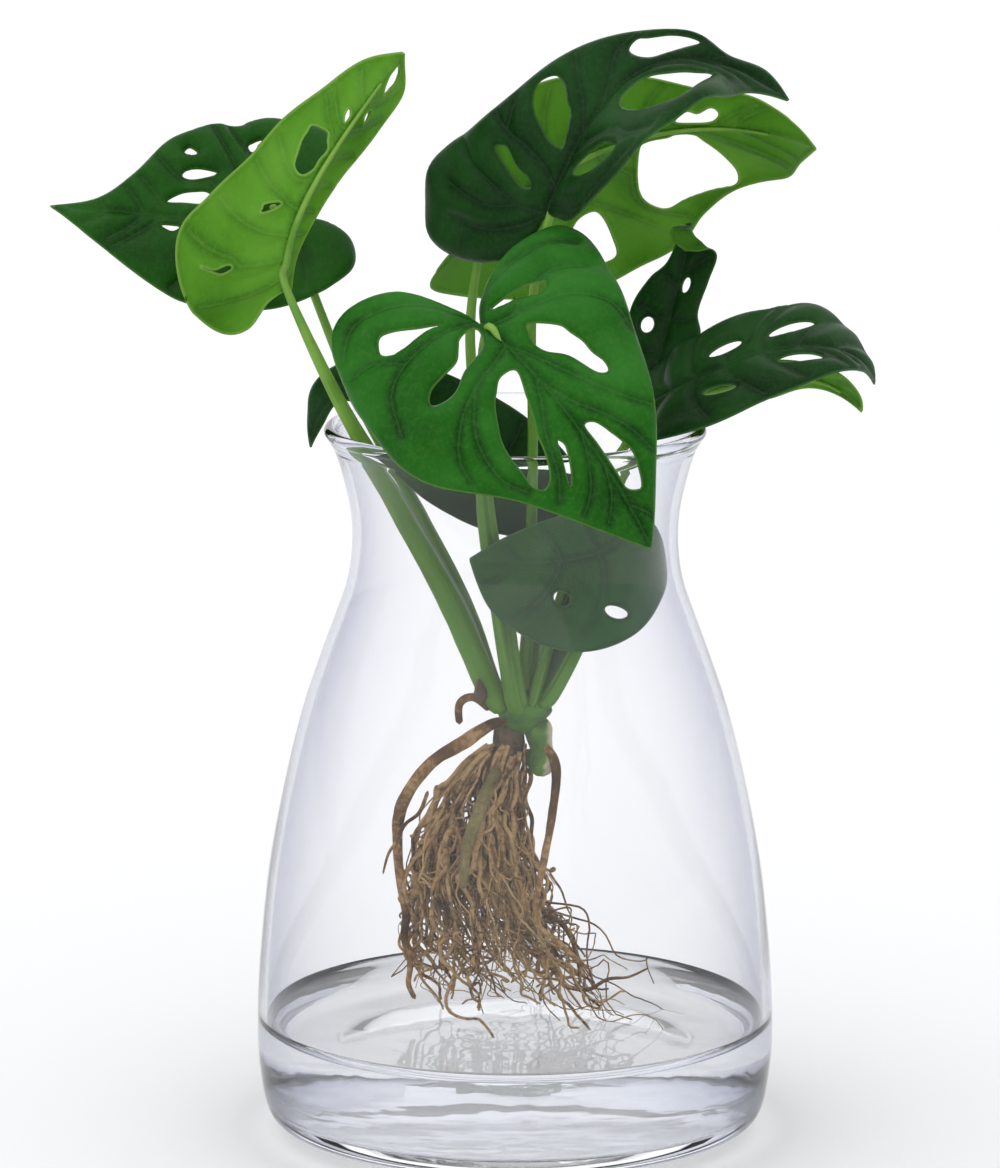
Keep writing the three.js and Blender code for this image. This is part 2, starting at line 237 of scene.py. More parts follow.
def smooth_line(knots, steps, closed=False):
    """Curve through the knots, with this many points from each knot to the next."""
    knots = np.asarray(knots, float)
    ring = np.vstack([knots[-1:], knots, knots[:2]] if closed else [knots[:1], knots, knots[-1:]])
    t = np.linspace(0, 1, steps, endpoint=False)[:, None]
    spans = []
    for a, b, c, d in zip(ring, ring[1:], ring[2:], ring[3:]):
        leave, arrive = (c - a) / 2, (d - b) / 2
        cubic, square = 2 * b - 2 * c + leave + arrive, 3 * c - 3 * b - 2 * leave - arrive
        spans.append(cubic * t ** 3 + square * t ** 2 + leave * t + b)
    return np.vstack(spans if closed else spans + [knots[-1:]])


def beside(profile, distance):
    """The profile moved this far to its right, seen with radius across and height up."""
    run = np.gradient(profile, axis=0)
    run /= np.linalg.norm(run, axis=1, keepdims=True)
    return profile + distance * np.stack([run[:, 1], -run[:, 0]], 1)


def piece(name, points, faces, finishes, uv=None, smooth=True, **values):
    """A mesh object from points in mm, with values on its points and a uv for each corner."""
    mesh = bpy.data.meshes.new(name)
    mesh.from_pydata((np.asarray(points) * MM).tolist(), [], faces)
    for finish in finishes:
        mesh.materials.append(finish)
    for label, numbers in values.items():
        layer = mesh.attributes.new(label, "FLOAT", "POINT")
        layer.data.foreach_set("value", np.asarray(numbers, np.float32))
    if uv is not None:
        mesh.uv_layers.new(name="UVMap").data.foreach_set("uv", np.asarray(uv, np.float32).ravel())
    mesh.polygons.foreach_set("use_smooth", [smooth] * len(mesh.polygons))
    return linked(name, mesh)


def turned(name, profile, finish):
    """Solid turned about Z from a profile that starts and ends on the axis."""
    angle = np.linspace(0, 2 * np.pi, TURNS, endpoint=False)
    rings = np.array([[(r * np.cos(a), r * np.sin(a), z) for a in angle] for r, z in profile[1:-1]])
    count = len(rings)
    points = np.vstack([rings.reshape(-1, 3), [(0, 0, profile[0][1]), (0, 0, profile[-1][1])]])
    at = [[i * TURNS + j for j in range(TURNS)] + [i * TURNS] for i in range(count)]
    faces = [(at[i][j], at[i][j + 1], at[i + 1][j + 1], at[i + 1][j])
             for i in range(count - 1) for j in range(TURNS)]
    foot, top = count * TURNS, count * TURNS + 1
    faces += [(foot, at[0][j + 1], at[0][j]) for j in range(TURNS)]
    faces += [(at[-1][j], at[-1][j + 1], top) for j in range(TURNS)]
    return piece(name, points, faces, [finish])


def settle(made, slot, *nodes):
    """The piece rides on the plant's body and stands for its solids; its slot is not used."""
    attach(made, "root")
    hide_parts(*nodes)


glass, port = finish_named("clear glass")
place = port.place()
waves = port.noise(place, 14.0, 1.0)
slant = port.add("ShaderNodeLayerWeight", {}, {"Blend": 0.5}, "Facing")
# Partly real, partly painted: the glass's own tint deepens where the view runs along the wall, and a
# painted reflection of the cool side flags darkens the edges further.
colour = (slant ** 2.2 + waves * 0.04).mix(CLEAR, SLANTED_TINT_AND_REFLECTION)
port.cover(port.principled({
    "Base Color": colour, "Roughness": 0.0, "IOR": GLASS_BENDING, "Transmission Weight": 1.0,
    "Specular IOR Level": 0.05, "Normal": waves.bump(0.25, 0.002)}))
outside = smooth_line(VASE_OUTSIDE, 6)
lip = np.linspace(-LIP_OVERLAP, math.pi + LIP_OVERLAP, 14)
lip = np.stack([RIM_MIDDLE[0] + RIM_BEAD * np.cos(lip), RIM_MIDDLE[1] + RIM_BEAD * np.sin(lip)], 1)
inside = beside(outside, -WALL)
inside = inside[(inside[:, 1] > LINING_ENDS[0]) & (inside[:, 1] < LINING_ENDS[1])]
lining = np.vstack([inside[::-1], smooth_line([inside[0], *WELL], 5)[1:]])
vase = turned("glass_vase", np.vstack([PUNT, outside, lip, lining]), glass)
settle(vase, "vase_glass", "vase")


# Water: a few fingers of tap water that fill the base and wet the wall, so its edge climbs the
# glass a little. It reaches a hair into the glass, as water that touches glass has no air behind it.
WATER_LEVEL = 33.4
CLIMB = [(-0.4, 1.7), (-1.0, 1.0), (-2.0, 0.4), (-3.5, 0.12), (-6.0, 0.0)]  # off the wall, height
TOUCH = 0.15
WETTED = 1.6  # how far above the level the water still lies on the wall
RIPPLE_HEIGHT, RIPPLE_WIDTH, RIPPLE_REACH = 0.12, 1.7, 30

water_finish, port = finish_named("water")
place = port.place()
ripples = port.noise(place, 55.0, 2.0)
port.cover(port.principled({
    "Base Color": ripples.mix((0.96, 0.98, 0.985, 1), (0.985, 0.99, 0.99, 1)), "Roughness": 0.0,
    "IOR": 1.33, "Transmission Weight": 1.0, "Normal": ripples.bump(0.2, 0.001)}))
wetted = lining[::-1]
wetted = beside(wetted[wetted[:, 1] < WATER_LEVEL + WETTED], TOUCH)
wetted[0] = (0, WELL[-1][1] - TOUCH)
edge_radius = wetted[-1][0]
surface = [(edge_radius + across, WATER_LEVEL + up) for across, up in CLIMB]
surface += [(r, WATER_LEVEL + RIPPLE_HEIGHT * math.cos(r / RIPPLE_WIDTH) * math.exp(-r / RIPPLE_REACH))
            for r in np.arange(60, 1, -2.0)]
water = turned("water_fill", np.vstack([wetted, surface, [(0, WATER_LEVEL)]]), water_finish)
settle(water, "water", "water")


# Leaves: ten heart-shaped leaves, eight of them pierced, satin above and paler beneath. Each blade is
# a thin sheet, folded and cupped about a bent midrib, that swells between sunken veins. Outlines,
# holes and listed veins lie flat: x across the blade and y along the midrib, in mm from the heel.
BLADE = 0.5
GRID = 0.9  # spacing of the points of a blade
GROOVE = 3.0  # how fast the swelling rises beside a vein
EDGE_RISE = 2.2  # how fast it rises from the edge
CURL, CURL_WIDTH = 0.55, 1.6  # how far the edge turns down, and how wide a strip does
RUFFLE, RUFFLE_LENGTH, RUFFLE_HALF = 0.8, 4.1, 38  # waves that grow up to this half width
CLEARANCE = 0.55 * GRID  # room between a loose point and a vein or an edge
VEIN_STEP = 0.8
VEIN_TURN = 26  # steps in which a side vein makes most of its turn
VEIN_LEAVES, VEIN_ENDS = (158, 112), (62, 52)  # degrees at the first vein, and how much less at the last
HOLE_GAP = 1.6  # from a side vein to a hole
LEAVES = {  # face is the way the upper side looks; fold and cup are degrees for the left and right half
    "front": dict(
        midrib=[(-10, -48, 245), (1, -62, 239), (23, -76, 217), (38, -66, 184)],
        face=(0.05, -0.85, 0.5), fold=(10, 12), cup=(35, 30), swell=2.4, skin=("bright", "pale"),
        veins=[
            [(0, 0), (-8, -7), (-20, -10), (-32, -10), (-38, -4)],
            [(0, 3), (-7, 6), (-15, 8), (-24, 11), (-31, 20), (-31, 30)],
            [(0, 12), (-3.5, 20), (-7, 28), (-11, 36), (-16, 44), (-21, 50)],
            [(0, 26), (-3, 36), (-8, 44), (-12, 52), (-14, 60)],
            [(0, 69), (-3, 73), (-5, 77)], [(-8, 6), (-16, 2), (-26, 1), (-35, 5)],
            [(0, 0), (4, -14), (12, -24), (24, -28), (34, -22)],
            [(0, 0), (10, -4), (24, -3), (34, 2), (40, 14)],
            [(0, 12), (6, 14.5), (14, 17), (24, 22), (32, 30), (34, 38)],
            [(0, 24), (4, 32), (8, 38), (10.5, 44), (13, 51), (17, 57)],
            [(0, 44), (3, 52), (8, 60), (13, 64)], [(0, 56), (3, 64), (8, 70)],
            [(16, 18), (25, 29), (27, 42), (23, 50)],
            [(24, -3), (30, -12), (36, -14)],
        ],
        left=[(-5, -6), (-16, -13), (-28, -17), (-42, -16), (-42, 3), (-34, 25), (-26, 43), (-20, 54),
              (-10, 68)],
        right=[(1, -10), (7, -28), (20, -35), (31, -31), (40, -14), (46, 12), (43, 31), (26, 51), (13, 68)],
        holes=[
            [(25, -16), (22, -19), (18, -17), (13, -12), (8, -8), (12, -9), (17, -9), (21, -9), (24, -10),
             (26, -13)],
            [(5, 8), (14, 11), (19, 14), (23, 15), (27, 14), (28, 12), (25, 9), (20, 8), (14, 7), (10, 3),
             (8, 1), (4, 0), (2, 2)],
            [(3, 20), (6, 28), (9, 35), (11, 39), (12, 43), (14, 48), (16, 51), (19, 52), (21, 49),
             (21, 45), (21, 39), (20, 34), (18, 30), (15, 25), (12, 22), (8, 19)],
            [(-9, 11), (-15, 17), (-16, 21), (-17, 25), (-17, 29), (-18, 33), (-17, 36), (-14, 34),
             (-11, 26), (-7, 21), (-6, 17), (-7, 14)],
            [(-5, -1), (-10, -1), (-17, 0), (-21, 2), (-22, 3), (-20, 5), (-17, 5), (-13, 2), (-9, 1)],
            [(-2, 44), (-5, 45), (-7, 50), (-8, 53), (-9, 57), (-8, 62), (-6, 67), (-4, 67), (-2, 65),
             (-2, 61), (-2, 57), (-2, 54), (-2, 50)],
            [(7, 43), (6, 45), (7, 48), (9, 52), (11, 55), (12, 55), (10, 50), (8, 45)],
        ]),
    "top": dict(
        midrib=[(9, -14, 271), (21, -26, 302), (35, -22, 333), (78, -5, 302)],
        face=(-0.22, -0.78, 0.58), fold=(8, 38), cup=(25, 10), swell=1.9, skin=("dark", "green"),
        veins=[
            [(0, 0), (-6, -8), (-16, -16), (-28, -20)],
            [(0, 0), (-9, -3), (-20, -3), (-32, -2), (-38, 4)],
            [(0, 8), (-6, 12), (-14, 14), (-24, 15), (-33, 20)],
            [(0, 26), (-5, 33), (-12, 38), (-19, 42)],
            [(0, 36), (-4, 43), (-9, 48), (-12, 55)], [(0, 70), (-3, 76), (-4, 82)],
            [(-22, 15), (-25, 26), (-23, 34)],
            [(-9, -3), (-20, -10), (-34, -12)], [(0, 2), (5, 5), (12, 8), (20, 13), (27, 22)],
            [(0, 12), (3, 23), (8, 29), (16, 35), (25, 37), (33, 42)],
            [(0, 46), (2.5, 56), (5, 66), (9, 74), (15, 73)],
            [(0, 64), (3, 74), (7, 82)], [(20, 13), (25, 26), (31, 36)],
        ],
        left=[(-4, -17), (-19, -29), (-36, -31), (-44, -17), (-42, -5), (-33, 10), (-20, 39), (-12, 56),
              (-9, 68), (-4, 77), (-4, 89)],
        right=[(7, 3), (18, 9), (26, 22), (35, 39), (36, 50), (25, 67), (11, 81), (4, 91)],
        holes=[
            [(-20, 26), (-21, 30), (-18, 34), (-14, 34), (-10, 31), (-7, 29), (-5, 24), (-4, 20),
             (-5, 19), (-9, 19), (-13, 21), (-17, 23)],
            [(-24, 7), (-23, 9), (-20, 10), (-15, 7), (-10, 6), (-8, 4), (-11, 2), (-15, 3), (-20, 5)],
            [(-8, 51), (-10, 54), (-9, 57), (-8, 64), (-6, 69), (-4, 64), (-3, 59), (-3, 55), (-5, 52)],
            [(11, 40), (5, 41), (4, 44), (4, 49), (5, 52), (8, 57), (9, 64), (8, 70), (21, 60), (27, 53),
             (25, 47), (20, 43)],
            [(5, 16), (5, 19), (9, 25), (14, 30), (20, 32), (22, 32), (20, 28), (16, 23), (10, 18)],
        ]),
    "back": dict(
        midrib=[(-11, 33, 259), (13, 45, 281), (51, 45, 297), (87, 20, 285)],
        face=(0.1, 0.75, 0.62), fold=(15, 15), cup=(25, 20), swell=1.9, veins=8, skin=("green", "pale"),
        left=[(1, -13), (-3, -21), (-15, -15), (-29, -4), (-45, 13), (-53, 34), (-50, 54), (-41, 65),
              (-31, 77), (-24, 94), (-13, 102)],
        right=[(8, -4), (22, 6), (30, 26), (27, 46), (20, 62), (14, 76), (12, 92), (6, 104)],
        holes=[
            [(-6, 54), (-3, 57), (-3, 63), (-2, 66), (-3, 71), (-7, 73), (-13, 76), (-21, 79), (-26, 79),
             (-29, 77), (-31, 71), (-33, 65), (-34, 60), (-35, 55), (-32, 51), (-27, 49), (-19, 50)],
            [(3, 67), (6, 71), (5, 74), (7, 78), (6, 80), (4, 80), (2, 77), (2, 71)],
            [(-25, 28), (-25, 34), (-30, 36), (-39, 36), (-45, 35), (-45, 31), (-41, 25), (-32, 23)],
        ]),
    "left": dict(
        midrib=[(-66, -8, 248), (-67, -25, 269), (-55, -15, 286), (-32, 10, 314)],
        face=(-0.57, 0.8, 0.15), fold=(30, 30), cup=(20, 20), swell=2.2, veins=9, skin=("green", "pale"),
        left=[(-4, -4), (-7, 6), (-10, 18), (-12, 33), (-15, 52), (-17, 68), (-15, 82)],
        right=[(5, -4), (11, -13), (18, -13), (25, -4), (32, 14), (26, 23), (20, 33), (17, 46), (13, 58),
               (8, 74)],
        holes=[
            [(9, 47), (9, 49), (6, 50), (4, 50), (3, 48), (1.5, 46), (2, 42), (2, 39), (4, 36), (7, 37),
             (8, 40), (9, 44)],
            [(3, 58), (3, 60), (2, 59), (1.5, 58), (1.5, 56), (2, 56)],
            [(-6, 62), (-4, 63), (-5, 66), (-7, 65), (-7, 62)],
            [(-1.5, 77), (-1.5, 79), (-2, 81), (-6, 82), (-8, 80), (-7, 75), (-7, 73), (-4, 74)],
            [(10, 24), (10, 25), (6, 27), (6, 26), (8, 24), (10, 23)],
            [(24, 10), (20, 9), (16, 10), (15, 9), (18, 8), (21, 9)],
        ]),
    "far_left": dict(
        midrib=[(-65, 30, 264), (-82, 22, 262), (-111, 20, 266), (-135, 30, 267)],
        face=(0.05, -0.75, 0.65), fold=(8, 8), cup=(10, 25), swell=2.1, veins=7, skin=("deep", "green"),
        left=[(-4, -9), (-12, -14), (-22, -11), (-28, 0), (-32, 14), (-30, 29), (-24, 39), (-12, 54),
              (-4, 65)],
        right=[(4, -9), (14, -20), (28, -22), (36, -8), (35, 11), (34, 25), (28, 38), (14, 48), (4, 58)],
        holes=[
            [(14, 33), (16, 32), (17, 28), (16, 22), (15, 22), (14, 25), (13, 30)],
            [(5, 37), (8, 33), (9, 28), (9, 25), (7, 23), (5, 26), (5, 32)],
            [(-3, 38), (-3, 33), (-4, 33), (-5, 35)],
            [(23, 33), (25, 31), (23, 28), (22, 30)],
            [(27, 6), (28, -2), (24, 5), (25, 7)],
        ]),
    "right": dict(
        midrib=[(40, 2, 214), (58, -8, 227), (93, -4, 242), (104, 8, 218)],
        face=(0, -0.42, 0.91), fold=(6, 10), cup=(25, 30), swell=1.8, veins=7, skin=("dark", "green"),
        left=[(-3, -8), (-12, -13), (-21, -8), (-24, 3), (-22, 20), (-22, 38), (-24, 54), (-20, 64),
              (-9, 73)],
        right=[(5, -6), (14, -7), (21, 0), (24, 10), (24, 24), (21, 38), (16, 50), (9, 61), (3, 69)],
        holes=[(-8, 25, 11, 4, 93), (-10, 46, 16, 4, 110), (6, 45, 13, 5, 90), (11, 21, 10, 4, 69)]),
    "upright": dict(
        midrib=[(41, 30, 218), (46, 38, 235), (54, 42, 264), (50, 30, 260)],
        face=(-0.35, -0.85, 0.35), fold=(20, 20), cup=(20, 20), swell=0.6, veins=5, skin=("dark", "green"),
        left=[(-4, -4), (-9, 3), (-12, 16), (-9, 26), (-5, 32), (-3, 41)],
        right=[(5, -4), (12, 2), (12, 13), (9, 20), (10, 30), (11, 40), (6, 47)],
        holes=[(2.5, 27, 5, 3, 83), (-6, 13, 5, 4, 85)]),
    "low_right": dict(
        midrib=[(46, 24, 212), (66, 23, 216), (88, 19, 226), (101, 20, 208)],
        face=(0.1, 0.5, 0.85), fold=(5, 5), cup=(20, 20), swell=0.5, veins=5, skin=("green", "pale"),
        left=[(-4, 0), (-11, 7), (-16, 17), (-15, 28), (-8, 40), (-3, 51)],
        right=[(3, -1), (8, 6), (12, 18), (13, 30), (11, 44), (5, 54)],
        holes=[]),
    "rim": dict(
        midrib=[(15, 8, 184), (-13, 2, 203), (-52, -4, 240), (-59, -2, 201)],
        face=(-0.25, -0.75, 0.6), fold=(5, 5), cup=(15, 15), swell=0.8, veins=6, skin=("dark", "green"),
        left=[(-7, -2), (-15, 5), (-20, 15), (-23, 28), (-23, 41), (-19, 55), (-9, 67), (-2, 76), (-2, 86)],
        right=[(6, -3), (12, 8), (14, 24), (13, 44), (11, 62), (9, 78), (4, 86)],
        holes=[]),
    "inside": dict(
        midrib=[(34, -7, 184), (32, -10, 170), (13, -25, 171), (-13, -27, 174)],
        face=(0, -0.98, 0.2), fold=(8, 10), cup=(20, 40), swell=1.3, veins=5, skin=("lightened_inside_glass", "green"),
        left=[(-6, 2), (-13, 7), (-20, 11), (-26, 17), (-27, 27), (-23, 38), (-14, 50)],
        right=[(5, -1), (10, 6), (13, 20), (12, 34), (7, 47)],
        holes=[(-11, 31, 5, 4, 40), (-18, 19, 6, 3, 35)]),
}
PALE_LEAVES = ("left", "back")
SKINS = {  # swelling, painted shade in the vein grooves, patch, edge, light let through, sheen, roughness
    "bright": [(28, 96, 14), (7, 42, 6), (52, 122, 40), (112, 160, 74), (56, 120, 14), 0.10, 0.42],
    "dark": [(18, 60, 15), (6, 30, 8), (36, 80, 32), (76, 118, 60), (36, 80, 12), 0.12, 0.38],
    "deep": [(24, 78, 10), (8, 42, 6), (42, 98, 28), (84, 132, 52), (46, 100, 10), 0.10, 0.42],
    # Painted light: a lighter, greyer copy of the dark skin for the leaf inside the vase, which the glass
    # shades.
    "lightened_inside_glass": [(44, 92, 38), (22, 58, 22), (72, 116, 66), (100, 140, 88), (50, 90, 24), 0.15, 0.42],
    "green": [(56, 112, 22), (30, 74, 12), (78, 134, 38), (118, 160, 66), (90, 160, 20), 0.12, 0.50],
    "pale": [(90, 154, 36), (52, 106, 20), (108, 166, 54), (144, 188, 88), (124, 186, 32), 0.12, 0.52],
}


def unit(vectors):
    return vectors / np.maximum(np.linalg.norm(vectors, axis=-1, keepdims=True), 1e-9)


def evenly(line, spacing, closed=False):
    """The same line with its points evenly spaced."""
    line = np.vstack([line, line[:1]]) if closed else line
    reach = np.concatenate([[0], np.cumsum(np.linalg.norm(np.diff(line, axis=0), axis=1))])
    at = np.linspace(0, reach[-1], max(5, round(reach[-1] / spacing)) + 1)
    points = np.stack([np.interp(at, reach, column) for column in line.T], 1)
    return points[:-1] if closed else points


def nearest(points, starts, ends):
    """Distance from each point to the closest of some straight pieces."""
    found = np.empty(len(points))
    run = ends - starts
    size = np.maximum((run ** 2).sum(1), 1e-9)
    for i in range(0, len(points), 2000):
        away = points[i:i + 2000, None] - starts
        share = np.clip((away * run).sum(2) / size, 0, 1)
        found[i:i + 2000] = np.sqrt(((away - share[..., None] * run) ** 2).sum(2).min(1))
    return found


def spans_of(lines):
    """Starts and ends of the straight pieces of some lines."""
    return np.vstack([line[:-1] for line in lines]), np.vstack([line[1:] for line in lines])


def enclosed(points, ring):
    """True for each point that lies inside the ring."""
    ax, ay = ring.T
    bx, by = np.roll(ring, -1, axis=0).T
    inner = np.zeros(len(points), bool)
    for i in range(0, len(points), 2000):
        x, y = points[i:i + 2000, :1], points[i:i + 2000, 1:]
        crossing = ((ay > y) != (by > y)) & (x < (bx - ax) * (y - ay) / (by - ay + 1e-12) + ax)
        inner[i:i + 2000] = crossing.sum(1) % 2 == 1
    return inner


class Blade:
    """A leaf's flat outline and veins, and the bent surface that they are laid on."""

    def __init__(self, midrib, face, fold, cup, swell, veins, skin, left, right, holes):
        t = np.linspace(0, 1, 201)[:, None]
        a, b, c, d = np.array(midrib, float)
        self.line = a * (1 - t) ** 3 + 3 * b * t * (1 - t) ** 2 + 3 * c * t * t * (1 - t) + d * t ** 3
        self.way = unit(3 * (b - a) * (1 - t) ** 2 + 6 * (c - b) * t * (1 - t) + 3 * (d - c) * t * t)
        self.reach = np.concatenate([[0], np.cumsum(np.linalg.norm(np.diff(self.line, axis=0), axis=1))])
        self.length = self.reach[-1]
        self.face, self.fold = unit(np.array(face, float)), np.radians(fold)
        self.bend = np.radians(cup) / (0.5 * self.length)
        self.swell = swell
        tip = (0, self.length)
        right_side = smooth_line([(0, 0), *right, tip], 10)
        left_side = smooth_line([(0, 0), *left, tip], 10)
        self.rim = evenly(np.vstack([right_side, left_side[-2:0:-1]]), GRID, closed=True)
        self.holes = []
        for hole in holes:
            knots = self.oval(*hole) if np.isscalar(hole[0]) else hole
            self.holes.append(evenly(smooth_line(knots, 8, True), GRID, closed=True))
        if isinstance(veins, int):
            veins = [self.vein(side, share) for side in (-1, 1) for share in np.linspace(0, 1, veins)]
            self.veins = [line for line in veins if len(line) > 4]
        else:
            self.veins = [evenly(smooth_line(knots, 8), VEIN_STEP) for knots in veins]

    @staticmethod
    def oval(x, y, length, width, angle):
        turn, a = np.radians(angle), np.linspace(0, 2 * np.pi, 12, endpoint=False)
        along, across = np.cos(a) * length / 2, np.sin(a) * width / 2
        return np.stack([x + along * np.cos(turn) - across * np.sin(turn),
                         y + along * np.sin(turn) + across * np.cos(turn)], 1)

    def vein(self, side, share):
        """Side vein: it leaves the midrib at an angle and turns towards the tip, round any hole."""
        spot = np.array([0.0, self.length * (0.01 + 0.74 * share ** 1.25)])
        leaving = math.radians(VEIN_LEAVES[0] - VEIN_LEAVES[1] * share ** 0.75)
        arriving = math.radians(VEIN_ENDS[0] - VEIN_ENDS[1] * share)
        line = [spot]
        for step in range(140):
            angle = arriving + (leaving - arriving) * math.exp(-step / VEIN_TURN)
            spot = spot + VEIN_STEP * np.array([side * math.sin(angle), math.cos(angle)])
            for hole in self.holes:
                away = spot - hole[np.argmin(((hole - spot) ** 2).sum(1))]
                gap = np.linalg.norm(away) * (-1 if enclosed(spot[None], hole)[0] else 1)
                if gap < HOLE_GAP:
                    spot = spot + unit(away) * (HOLE_GAP - gap) * (1 if gap > 0 else -1)
            if not enclosed(spot[None], self.rim)[0] or ((self.rim - spot) ** 2).sum(1).min() < 4:
                break
            line.append(spot)
        return np.array(line)

    def laid(self, flat, height):
        """Points of the bent blade from flat ones and their height above its middle surface."""
        x, y = flat[:, 0], flat[:, 1]
        middle = np.stack([np.interp(y, self.reach, column) for column in self.line.T], 1)
        way = unit(np.stack([np.interp(y, self.reach, column) for column in self.way.T], 1))
        middle = middle + way * (np.minimum(y, 0) + np.maximum(y - self.length, 0))[:, None]
        across = unit(np.cross(way, self.face))
        up = np.cross(across, way)
        half = np.where(x < 0, 0, 1)
        fold, bend = self.fold[half], self.bend[half]
        turn = fold - bend * np.abs(x)
        outward = (np.sin(fold) - np.sin(turn)) / bend
        raised = (np.cos(turn) - np.cos(fold)) / bend
        lean = np.where(np.abs(x) < 1e-6, 0, turn)
        sideways = np.sign(x) * (outward - height * np.sin(lean))
        return middle + across * sideways[:, None] + up * (raised + height * np.cos(lean))[:, None]

    def sheet(self):
        """Flat triangles of the pierced blade."""
        low, high = self.rim.min(0), self.rim.max(0)
        rows = np.arange(low[1], high[1], GRID * 0.87)
        grid = np.array([(x + (GRID / 2 if i % 2 else 0), y) for i, y in enumerate(rows)
                         for x in np.arange(low[0], high[0], GRID)])
        rib = np.stack([np.zeros(200), np.linspace(0.5, self.length - 0.5, 200)], 1)
        rib = evenly(rib, GRID)
        lines = [rib, *(evenly(line[1:], GRID) for line in self.veins)]
        off = nearest(grid, *spans_of(lines))
        thinned = [rib]
        for line in lines[1:]:
            near = np.vstack(thinned)
            away = ((line[:, None] - near) ** 2).sum(2).min(1)
            thinned.append(line[away > (0.6 * GRID) ** 2])
        grid = np.vstack([*thinned, grid[off > CLEARANCE]])
        rings = [self.rim, *self.holes]
        starts = np.vstack(rings)
        ends = np.vstack([np.roll(ring, -1, axis=0) for ring in rings])
        keep = enclosed(grid, self.rim) & (nearest(grid, starts, ends) > CLEARANCE)
        for hole in self.holes:
            keep &= ~enclosed(grid, hole)
        flat = np.vstack([starts, grid[keep]])
        edges, first = [], 0
        for ring in rings:
            edges += [(first + i, first + (i + 1) % len(ring)) for i in range(len(ring))]
            first += len(ring)
        made = delaunay_2d_cdt([Vector(p) for p in flat], edges, [], 0, 1e-5)
        flat = np.array([tuple(p) for p in made[0]])
        faces = np.array([tuple(f) for f in made[2]])
        middle = flat[faces].mean(1)
        keep = enclosed(middle, self.rim)
        for hole in self.holes:
            keep &= ~enclosed(middle, hole)
        faces = faces[keep]
        a, b, c = (flat[faces[:, i]] for i in range(3))
        turning = (b - a)[:, 0] * (c - a)[:, 1] - (b - a)[:, 1] * (c - a)[:, 0]
        faces[turning < 0] = faces[turning < 0][:, ::-1]
        return flat, faces, nearest(flat, starts, ends)

    def piece(self, name, finishes):
        flat, faces, edge = self.sheet()
        side_vein, rib = nearest(flat, *spans_of(self.veins)), np.abs(flat[:, 0])
        vein = np.minimum(side_vein, rib)
        swelling = self.swell * (1 - np.exp(-(vein / GROOVE) ** 1.2)) * (1 - np.exp(-edge / EDGE_RISE))
        curl = -CURL * np.maximum(0, 1 - edge / CURL_WIDTH) ** 2
        ruffle = RUFFLE * np.sin(flat[:, 1] / RUFFLE_LENGTH + self.length)
        ruffle = ruffle * np.clip(np.abs(flat[:, 0]) / RUFFLE_HALF, 0, 1) ** 2
        points = self.laid(flat, swelling + curl + ruffle)
        made = piece(name, points, faces.tolist(), finishes, uv=flat[faces.ravel()] / 100 + 0.5,
                     vein=side_vein, rib=rib, edge=edge)
        thick = made.modifiers.new("thickness", "SOLIDIFY")
        thick.thickness, thick.offset = BLADE * MM, 0
        thick.material_offset, thick.material_offset_rim = 1, 2
        return made


def leaf_skin(name, swelling, groove_shade, patch, edge_tint, through, sheen, rough):
    """Skin of one side of a blade, coloured by the distance to its veins and its edge in mm; the vein
    grooves take painted shade.
    """
    made, port = finish_named(name)
    vein, rib, edge = (port.attribute(label) for label in ("vein", "rib", "edge"))
    flat = port.add("ShaderNodeTexCoord", output="UV")
    place = port.place()
    clouds = port.noise(place, 38.0, 3.0)
    grain = port.noise(place, 700.0, 3.0)
    net = port.add("ShaderNodeTexVoronoi", {"feature": "DISTANCE_TO_EDGE", "voronoi_dimensions": "2D"},
                   {"Vector": flat, "Scale": 34.0, "Randomness": 0.9}, "Distance")
    mesh_line = 1 - net.fade(0.0, 0.09)
    # wide is 0 in the vein grooves, where the colour takes painted shade, rising to 1 on the swelling; it
    # also shapes the relief and the light let through.
    wide = vein.math("MINIMUM", vein, rib * 0.8).fade(-0.4, 2.6)
    hair = 1 - vein.math("MINIMUM", vein, rib * 0.7).fade(0.12, 0.5)
    colour = wide.mix(paint(*groove_shade), paint(*swelling))
    colour = (clouds.fade(0.42, 0.72) * 0.75).mix(colour, paint(*patch))
    # Random darker blotches, in the colour of the painted groove shade.
    colour = ((1 - clouds).fade(0.5, 0.72) * 0.45).mix(colour, paint(*groove_shade))
    colour = (mesh_line * 0.20).mix(colour, paint(*patch))
    colour = (hair * 0.3).mix(colour, paint(*patch))
    colour = (grain.fade(0.45, 0.7) * 0.07).mix(colour, paint(*edge_tint))
    colour = ((1 - edge.fade(0.1, 0.6)) * 0.6).mix(colour, paint(*edge_tint))
    relief = wide * 0.5 - mesh_line * 0.08 + grain * 0.03
    skin = port.principled({
        "Base Color": colour, "Roughness": clouds * 0.14 + grain * 0.1 + (rough - 0.12),
        "Normal": relief.bump(0.5, 0.0006), "Specular IOR Level": sheen})
    lit = port.add("ShaderNodeBsdfTranslucent", {}, {"Color": paint(*through)})
    port.cover(port.add("ShaderNodeMixShader", {}, {0: wide * 0.08 + 0.12, 1: skin, 2: lit}))
    return made


skins = {name: leaf_skin(f"{name} leaf", *values) for name, values in SKINS.items()}
edges = {name: leaf_skin(f"{name} leaf edge", values[3], values[2], values[3], *values[3:])
         for name, values in SKINS.items()}
blades = {}
for name, leaf in LEAVES.items():
    blades[name] = Blade(**leaf)
    upper, under = leaf["skin"]
    made = blades[name].piece(f"{name}_blade", [skins[upper], skins[under], edges[upper]])
    settle(made, "leaf_pale" if name in PALE_LEAVES else "leaf_upper", f"leaf_{name}")


